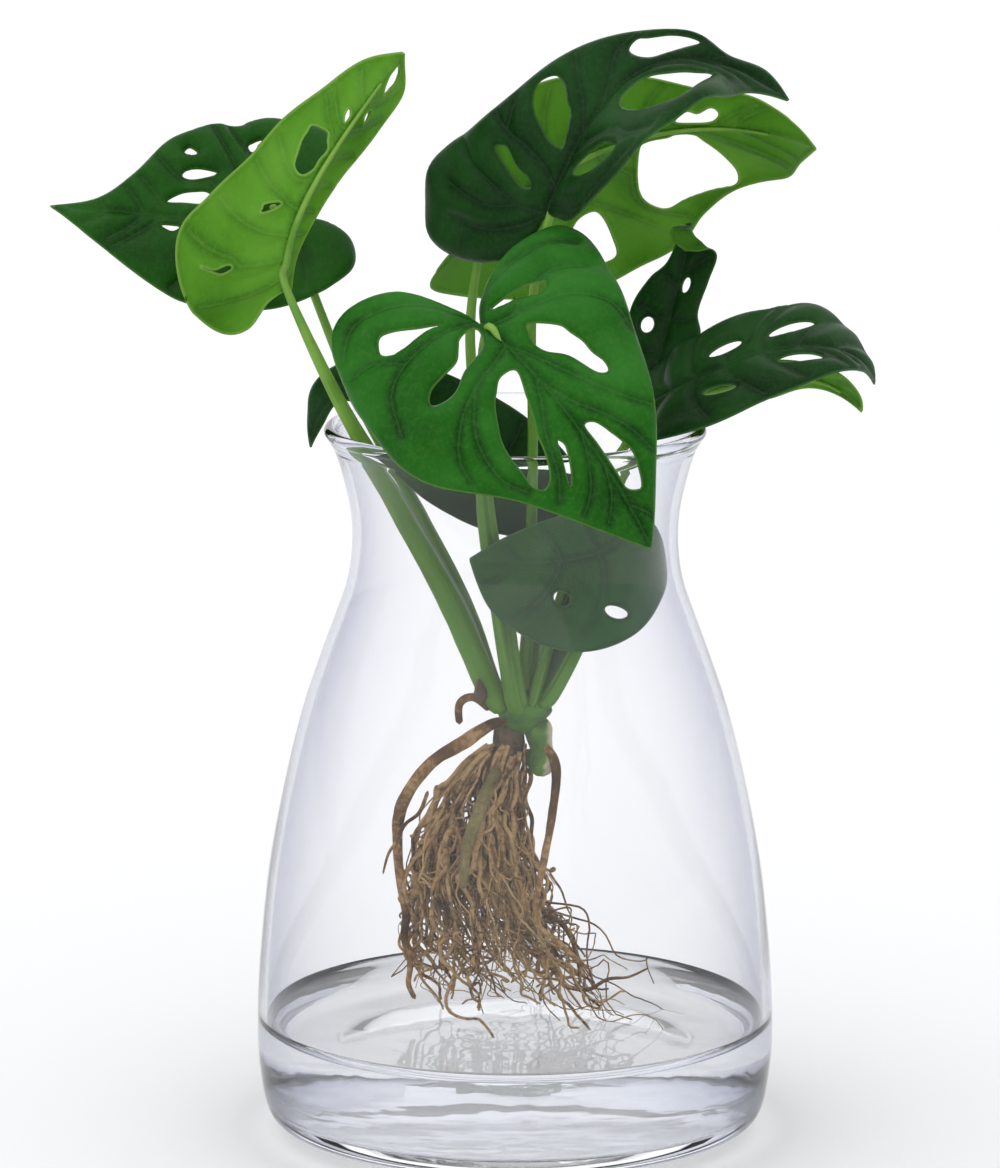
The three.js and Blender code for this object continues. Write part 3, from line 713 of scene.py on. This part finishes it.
# Leaf stalks: firm green stalks, rounded, with a channel and a thin wing where the lower part clasps
# the stem. Each rises from the crown, turns into the heel of its leaf and runs on under the blade as
# its midrib. They grow in one piece with the leaf.
STALKS = {  # route, radius on the way, wing: direction, width, and the shares of the length it covers
    "front": ([(0, -8, 130), (-4, -12, 156), (-8, -20, 184), (-10, -32, 215)], [3.3, 3.2, 2.8, 1.8],
              (-2.8, 0.9, 0, 0.5)),
    "top": ([(2, -1.5, 130), (4, -4, 157), (5, -7, 202), (5, -10, 246)], [1.9, 1.7, 1.5, 1.3],
            (0.5, 0.5, 0, 0.4)),
    "back": ([(-1, 7, 130), (-5, 10, 155), (-9, 14, 189), (-13, 23, 231)], [2, 1.8, 1.7, 1.5],
             (0.5, 0.5, 0, 0.4)),
    "left": ([(-7, -5, 130), (-19, -7, 158), (-34, -12, 187), (-52, -16, 221)], [3.6, 3.6, 2.8, 2],
             (0.35, 2.2, 0, 0.5)),
    "far_left": ([(-6, 3, 130), (-15, 9, 154), (-30, 16, 183), (-48, 22, 216)], [2.3, 2, 1.7, 1.4],
                 (0.5, 0.6, 0, 0.4)),
    "right": ([(6, -6, 130), (13, -6, 157), (22, -4, 186), (34, -1, 205)], [1.9, 1.7, 1.5, 1.3],
              (0.0, 1.0, 0, 0.5)),
    "upright": ([(9, 5, 130), (16, 10, 154), (25, 18, 182), (35, 25, 204)], [1.9, 1.6, 1.4, 1.2],
                (0.0, 0.6, 0, 0.4)),
    "low_right": ([(11, -0.5, 130), (18, 4, 156), (28, 11, 183), (38, 18, 204)], [1.8, 1.5, 1.3, 1.1],
                  (0.0, 1.0, 0, 0.5)),
    "rim": ([(4, 8, 130), (8, 9, 152), (13, 9, 170)], [1.9, 1.6, 1.3], (0.5, 0.6, 0, 0.5)),
    "inside": ([(11, -7, 130), (19, -8, 146), (27, -8.5, 168)], [2.2, 1.8, 1.4], (3.0, 11.0, 0.0, 0.75)),
}
CROWN_MIDDLE = (3, 0, 122)
CLASP = 0.45  # how far a stalk's foot goes in towards the middle of the crown
STALK_SIDES = 28
RIB_SPAN, RIB_RADII = (0.03, 0.86), (1.15, 0.3)  # share of the blade that the midrib runs under
FIN_HALF, CHANNEL_OFF, CHANNEL_HALF = 0.30, 0.75, 0.35  # radians round the stalk
CHANNEL = 0.22  # depth of the channel beside the wing, as a share of the radius
SKIN_WAVE = 9  # mm along a limb for one radian of its longest uneven wave
STALK_COLOURS = [(122, 166, 64), (88, 140, 42), (86, 138, 34), (26, 70, 36)]  # light, middle, foot, wing


def tube(name, route, radii, finishes, sides, spacing, grain=0.0, seed=1, wing=None):
    """Closed round limb along a smooth route; grain is how far its skin strays, as a share of its
    radius, and a wing is a thin fin along part of it."""
    line = evenly(smooth_line(route, 12), spacing)
    share = np.linspace(0, 1, len(line))
    radius = np.interp(share, np.linspace(0, 1, len(radii)), radii)
    reach = share * np.linalg.norm(np.diff(line, axis=0), axis=1).sum()
    end = np.minimum(reach, reach[-1] - reach)
    radius = radius * np.sqrt(np.clip(1 - (1 - np.minimum(end / radius, 1)) ** 2, 0.0, 1))
    way = unit(np.gradient(line, axis=0))
    first = unit(np.cross(way[0], (0, -1, 0.1)))
    sides_x = []
    for direction in way:
        first = unit(first - direction * (first @ direction))
        sides_x.append(first)
    sides_x = np.array(sides_x)
    sides_y = np.cross(way, sides_x)
    angle = np.linspace(0, 2 * np.pi, sides, endpoint=False)
    grown = np.ones((len(line), sides))
    if grain:
        chance = np.random.default_rng(seed)
        for k in range(1, 7):
            wave = np.outer(share * reach[-1] / (SKIN_WAVE / k), np.ones(sides))
            wave = np.sin(wave + k * angle + chance.uniform(0, 7))
            grown += grain / k ** 0.6 * wave * chance.uniform(0.4, 1)
    size = radius[:, None] * grown
    fin = np.zeros_like(size)
    if wing:
        where, width, start, stop = wing
        span = np.clip((share - start) / (stop - start), 0, 1)
        off = np.angle(np.exp(1j * (angle - where)))
        fin = (width * np.sin(np.pi * span ** 0.8) ** 0.8)[:, None] * np.exp(-(off / FIN_HALF) ** 2)
        dip = np.exp(-((off - CHANNEL_OFF) / CHANNEL_HALF) ** 2)
        size = size + fin - CHANNEL * radius[:, None] * dip * (span < 1)[:, None]
    points = (line[:, None] + sides_x[:, None] * (np.cos(angle) * size)[..., None]
              + sides_y[:, None] * (np.sin(angle) * size)[..., None])
    points = np.vstack([points[1:-1].reshape(-1, 3), line[:1], line[-1:]])
    rings = len(line) - 2
    faces, uv = [], []
    for i in range(rings - 1):
        for j in range(sides):
            k = (j + 1) % sides
            faces.append((i * sides + j, i * sides + k, (i + 1) * sides + k, (i + 1) * sides + j))
            uv += [(j / sides, reach[i] / 100), ((j + 1) / sides, reach[i] / 100),
                   ((j + 1) / sides, reach[i + 1] / 100), (j / sides, reach[i + 1] / 100)]
    foot, top, last = rings * sides, rings * sides + 1, (rings - 1) * sides
    for j in range(sides):
        k = (j + 1) % sides
        faces += [(foot, k, j), (last + j, last + k, top)]
        uv += [(j / sides, 0)] * 3 + [(j / sides, reach[-1] / 100)] * 3
    along = np.append(np.repeat(share[1:-1], sides), (0, 1))
    fins = np.append(fin[1:-1].ravel(), (0, 0))
    return piece(name, points, faces, finishes, uv=uv, along=along, fin=fins)


def stalk_skin(name, light, middle, foot, wing):
    """Skin of a stalk, from its clasping foot upwards, with fine ribs along it."""
    made, port = finish_named(name)
    along, fin = port.attribute("along"), port.attribute("fin")
    flat = port.add("ShaderNodeTexCoord", output="UV")
    place = port.place()
    fibre = port.noise(flat.stretched((14, 3, 1)), 1.0, 4.0)
    clouds = port.noise(place, 60.0, 3.0)
    specks = port.noise(place, 900.0, 2.0)
    colour = along.fade(0.02, 0.42).mix(paint(*foot), paint(*middle))
    colour = (along.fade(0.15, 0.7) * clouds.fade(0.3, 0.6)).mix(colour, paint(*light))
    colour = (fibre.fade(0.45, 0.7) * 0.4).mix(colour, paint(*light))
    colour = (specks.fade(0.6, 0.75) * 0.3).mix(colour, paint(*middle))
    colour = fin.fade(0.2, 1.2).mix(colour, paint(*wing))
    skin = port.principled({
        "Base Color": colour, "Roughness": fibre * 0.2 + 0.34,
        "Normal": (fibre + specks * 0.3).bump(0.35, 0.0006), "Specular IOR Level": 0.3})
    lit = port.add("ShaderNodeBsdfTranslucent", {}, {"Color": paint(*light)})
    shine = fin.fade(0.5, 2.0) * 0.15 + 0.08
    port.cover(port.add("ShaderNodeMixShader", {}, {0: shine, 1: skin, 2: lit}))
    return made


stalk_finish = stalk_skin("leaf stalk", *STALK_COLOURS)
for name, (route, radii, wing) in STALKS.items():
    blade = blades[name]
    rib_at = np.linspace(*RIB_SPAN, 9)
    rib_size = np.interp(rib_at, [0, 1], RIB_RADII)
    rib = blade.laid(np.stack([0 * rib_at, rib_at * blade.length], 1), -BLADE / 2 - 0.8 * rib_size)
    route = np.array(route, float)
    clasp = route[0] + (np.array(CROWN_MIDDLE) - route[0]) * CLASP
    lengths = np.linalg.norm(np.diff(np.vstack([route, rib]), axis=0), axis=1)
    spots = np.concatenate([[0], np.cumsum(lengths)]) / lengths.sum()
    sizes = np.interp(np.linspace(0, 1, 60), spots, [*radii, *rib_size])
    made = tube(f"{name}_stalk", [clasp, *route, *rib], sizes, [stalk_finish], STALK_SIDES, 1.3, 0.02,
                len(name), wing)
    settle(made, "stalk", f"stalk_{name}")


# Crown, stem, bud: the short green top of the stem where the stalks clasp each other, the cut
# stem piece beside it with a dry scar, and a small brown sheath. They are parts of one soft stem.
CROWN = [(3, 0, 131), (3, 0, 127), (3, 0, 122), (4, 0, 117)], [5, 8.2, 7.4, 4.6]
STEM = ([(6.5, -0.5, 122), (7, 0, 117), (7.8, 0, 112), (7.6, 0, 109), (8.2, 0, 104)],
        [3.6, 4.0, 3.3, 4.1, 3.0])
BUD = [(-9.5, -9.5, 128), (-10, -11, 131.5), (-10.5, -11.2, 135.5)], [1.6, 2.0, 0.5]
SCAR, BUD_BROWN = (196, 190, 160), (116, 100, 78)


def stem_skin(name, green, dark, dry, dryness, scar=(1.0, 2.0)):
    """Soft stem skin with dry patches; dryness is the noise level above which it is dry, and a scar
    covers what lies to the right, from where it begins to where it is full, in metres."""
    made, port = finish_named(name)
    place = port.place()
    rings = port.noise(place.stretched((0.5, 0.5, 2.2)), 260.0, 3.0)
    clouds = port.noise(place, 120.0, 4.0)
    colour = clouds.fade(0.35, 0.65).mix(paint(*dark), paint(*green))
    colour = (clouds + rings * 0.4 - 0.2).fade(dryness, dryness + 0.08).mix(colour, paint(*dry))
    across = port.add("ShaderNodeSeparateXYZ", {}, {0: place}, "X")
    colour = (across + clouds * 0.004 - 0.002).fade(*scar).mix(colour, paint(*dry))
    port.cover(port.principled({
        "Base Color": colour, "Roughness": rings * 0.3 + 0.45, "Specular IOR Level": 0.25,
        "Normal": (rings + clouds).bump(0.7, 0.0012)}))
    return made


green_stem = stem_skin("soft green stem", (84, 136, 44), (50, 92, 34), SCAR, 0.70)
scarred_stem = stem_skin("scarred stem", (96, 140, 52), (66, 100, 40), SCAR, 0.58, (0.0085, 0.0105))
dry_sheath = stem_skin("dry sheath", BUD_BROWN, (70, 56, 42), SCAR, 0.6)
settle(tube("crown_stem", *CROWN, [green_stem], 32, 0.8, 0.05, 3), "stalk", "crown")
settle(tube("cut_stem", *STEM, [scarred_stem], 28, 0.7, 0.06, 4), "stalk", "stem")
settle(tube("sheath_bud", *BUD, [dry_sheath], 20, 0.5, 0.06, 5), "stalk", "bud")


# Rhizome and thick roots: the brown woody piece under the crown, and six thicker roots that leave
# it, one arching out to the left and down. They are corky, ringed and dry above the water.
RHIZOME = [(-1, 1, 122), (-2, 2, 115), (-3, 1, 107), (-5, 1, 98)], [4.2, 4.8, 4.2, 2.6]
THICK_ROOTS = {
    "root_left": ([(-3, -4, 121), (-7, -8, 121), (-14, -10, 117), (-25, -12, 110), (-32, -12, 100),
                   (-34, -11, 89), (-33, -9, 75), (-31.5, -9, 66), (-32, -8, 58), (-30.5, -7, 50),
                   (-31, -7, 44), (-29, -6, 39)],
                  [1.6, 1.9, 1.8, 1.5, 1.3, 1.1, 0.6]),
    "root_right": ([(8, -2, 114), (12, -4, 107), (10, -8, 90), (6, -16, 71), (7, -18, 64), (13, -19, 59),
                    (20, -18, 52)],
                   [1.4, 1.2, 0.9, 0.7]),
    "root_olive": ([(-5, -6, 108), (-10, -15, 98), (-14, -20, 87), (-15, -22, 76)], [1.8, 1.9, 1.7, 1.2]),
    "root_loop": ([(-7, -5, 125), (-12, -7, 129), (-16, -7, 127), (-16, -7, 121)], [1.3, 1.2, 0.9]),
    "root_hair": ([(-25, -13, 103), (-27.5, -15.5, 97), (-31.5, -17.5, 94), (-34, -17, 89),
                   (-36.5, -17.5, 85), (-38, -17, 79)], [0.6, 0.55, 0.45, 0.3]),
    "root_strand": ([(14, -9, 44), (21, -8, 42.5), (27, -7.5, 45.5), (33, -5, 45.5), (39, -4, 48)],
                    [0.7, 0.6, 0.4, 0.3]),
}
ROOT_COLOURS = [(134, 98, 56), (70, 47, 26), (196, 164, 116)]


def cork_skin(name, middle, dark, light, relief):
    """Corky skin: cross rings, dark patches and pale scuffs."""
    made, port = finish_named(name)
    place = port.place()
    clouds = port.noise(place, 70.0, 5.0)
    grit = port.noise(place, 650.0, 4.0)
    rings = port.noise(place.stretched((0.4, 0.4, 2.5)), 320.0, 2.0)
    colour = clouds.fade(0.3, 0.62).mix(paint(*dark), paint(*middle))
    tone = port.attribute("tone")
    colour = ((clouds * 0.6 + grit * 0.5 + tone * 0.2).fade(0.5, 0.72) * 0.8).mix(colour, paint(*light))
    colour = (rings.fade(0.55, 0.7) * 0.4).mix(colour, paint(*dark))
    port.cover(port.principled({
        "Base Color": colour, "Roughness": grit * 0.25 + 0.6, "Specular IOR Level": 0.2,
        "Normal": (grit + rings).bump(0.8, relief)}))
    return made


bark = cork_skin("rhizome bark", (80, 64, 46), (48, 38, 28), (120, 102, 78), 0.0012)
root_skin = cork_skin("root skin", *ROOT_COLOURS, 0.0005)
olive_skin = cork_skin("olive root skin", (122, 112, 66), (90, 78, 48), (150, 138, 96), 0.0005)
settle(tube("rhizome_bark", *RHIZOME, [bark], 28, 0.7, 0.10, 6), "bark", "rhizome")
for name, (route, radii) in THICK_ROOTS.items():
    made = tube(f"{name}_skin", route, radii, [olive_skin if name == "root_olive" else root_skin], 14, 0.9,
                0.13, len(name))
    settle(made, "root", name)


# Root tangle: over two hundred thin tan roots that hang from the rhizome in one mass, wander, thin out
# towards their tips and spread where they reach the water. A node tree grows them along a guide.
GUIDE = [(-2, 0, 114), (-20, 0, 88), (-11, 0, 58), (2, -3, 28)]  # middle of the mass, as a Bezier
TANGLES = {  # Shortest is a share of the guide; Wander and Spread are mm at the tips
    "root_strands": dict(Strands=95, Seed=11, Thickness=1.0, Shortest=0.55, Wander=34.0, Spread=22.0),
    "root_fibres": dict(Strands=150, Seed=47, Thickness=0.45, Shortest=0.35, Wander=50.0, Spread=30.0),
}
STEPS = 54

tangle = bpy.data.node_groups.new("root tangle", "GeometryNodeTree")
for label in ("Strands", "Seed"):
    tangle.interface.new_socket(label, in_out="INPUT", socket_type="NodeSocketInt")
for label in ("Thickness", "Shortest", "Wander", "Spread"):
    tangle.interface.new_socket(label, in_out="INPUT", socket_type="NodeSocketFloat")
tangle.interface.new_socket("Finish", in_out="INPUT", socket_type="NodeSocketMaterial")
tangle.interface.new_socket("Geometry", in_out="OUTPUT", socket_type="NodeSocketGeometry")
port = Port(tangle)
given = port.add("NodeGroupInput")
spots = port.add("GeometryNodeMeshLine", {}, {"Count": given.output("Strands"), "Offset": (0, 0, 0)})
straight = port.add("GeometryNodeResampleCurve", {}, {
    "Curve": port.add("GeometryNodeCurvePrimitiveLine"), "Count": STEPS})
strands = port.add("GeometryNodeRealizeInstances", {}, {"Geometry": port.add(
    "GeometryNodeInstanceOnPoints", {}, {"Points": spots, "Instance": straight})})
share = port.add("GeometryNodeSplineParameter", output="Factor")
number = port.add("GeometryNodeCurveOfPoint", output="Curve Index")


def chance(salt, low, high):
    """A random number for each strand."""
    return port.add("FunctionNodeRandomValue", {"data_type": "FLOAT"},
                    {2: low, 3: high, 7: number, 8: given.output("Seed") + salt}, 1)


begin = chance(9, 0.0, 1.0) ** 1.4 * 0.5
down = begin + share * port.math("MAXIMUM", chance(1, given.output("Shortest"), 1.0) - begin, 0.25)
handles = dict(zip(("Start", "Start Handle", "End Handle", "End"), map(Vector, GUIDE)))
guide = port.add("GeometryNodeCurvePrimitiveBezierSegment", {}, {"Resolution": 40, **handles})
middle = port.add("GeometryNodeSampleCurve", {"mode": "FACTOR"}, {"Curves": guide, "Factor": down},
                  "Position")
angle = chance(2, 0.0, 2 * math.pi) + down * chance(3, -1.6, 1.6)
reach = (down ** 0.75 * 25.0 + 5.0) * chance(4, 0.02, 1.0) ** 0.5
spot = port.add("ShaderNodeCombineXYZ", {}, {0: down * 5.5, 1: number * 3.7, 2: given.output("Seed")})
stray = port.add("ShaderNodeTexNoise", {}, {
    "Vector": spot, "Scale": 1.0, "Detail": 1.5, "Roughness": 0.6}, "Color")
wander = port.vector("SUBTRACT", stray, (0.5, 0.5, 0.5))
far = down ** 0.6 * given.output("Wander")
wander = port.add("ShaderNodeVectorMath", {"operation": "SCALE"}, {0: wander, 3: far})
tips = down ** 5 * given.output("Spread")
offset = port.add("ShaderNodeCombineXYZ", {}, {
    0: angle.math("COSINE", angle) * reach + tips * chance(5, -0.5, 1.0),
    1: angle.math("SINE", angle) * reach * 0.85 + tips * chance(6, -0.5, 0.5),
    2: tips * chance(7, 0.0, 0.35)})
path = port.vector("ADD", port.vector("ADD", middle, offset), wander)
path = port.add("ShaderNodeVectorMath", {"operation": "SCALE"}, {0: path, 3: MM})
strands = port.add("GeometryNodeSetPosition", {}, {"Geometry": strands, "Position": path})
girth = given.output("Thickness") * MM * (1.0 - share * 0.62) * chance(8, 0.65, 1.15)
strands = port.add("GeometryNodeStoreNamedAttribute", {"data_type": "FLOAT", "domain": "POINT"},
                   {"Geometry": strands, "Name": "tone", "Value": chance(10, 0.0, 1.0)})
strands = port.add("GeometryNodeCurveToMesh", {}, {
    "Curve": strands, "Fill Caps": True, "Scale": girth,
    "Profile Curve": port.add("GeometryNodeCurvePrimitiveCircle", {}, {"Resolution": 6, "Radius": 1.0})})
strands = port.add("GeometryNodeRealizeInstances", {}, {"Geometry": port.add(
    "GeometryNodeSetShadeSmooth", {}, {"Geometry": strands})})
strands = port.add("GeometryNodeSetMaterial", {}, {"Geometry": strands, "Material": given.output("Finish")})
port.add("NodeGroupOutput", {}, {"Geometry": strands})

for name, sizes in TANGLES.items():
    mass = linked(name, bpy.data.meshes.new(name))
    grow = mass.modifiers.new("grow", "NODES")
    grow.node_group = tangle
    for item in tangle.interface.items_tree:
        if item.in_out == "INPUT":
            grow[item.identifier] = {**sizes, "Finish": root_skin}[item.name]
    grown = bpy.data.meshes.new_from_object(mass.evaluated_get(bpy.context.evaluated_depsgraph_get()))
    mass.modifiers.clear()
    mass.data = grown
    settle(mass, "root", "root_mass")
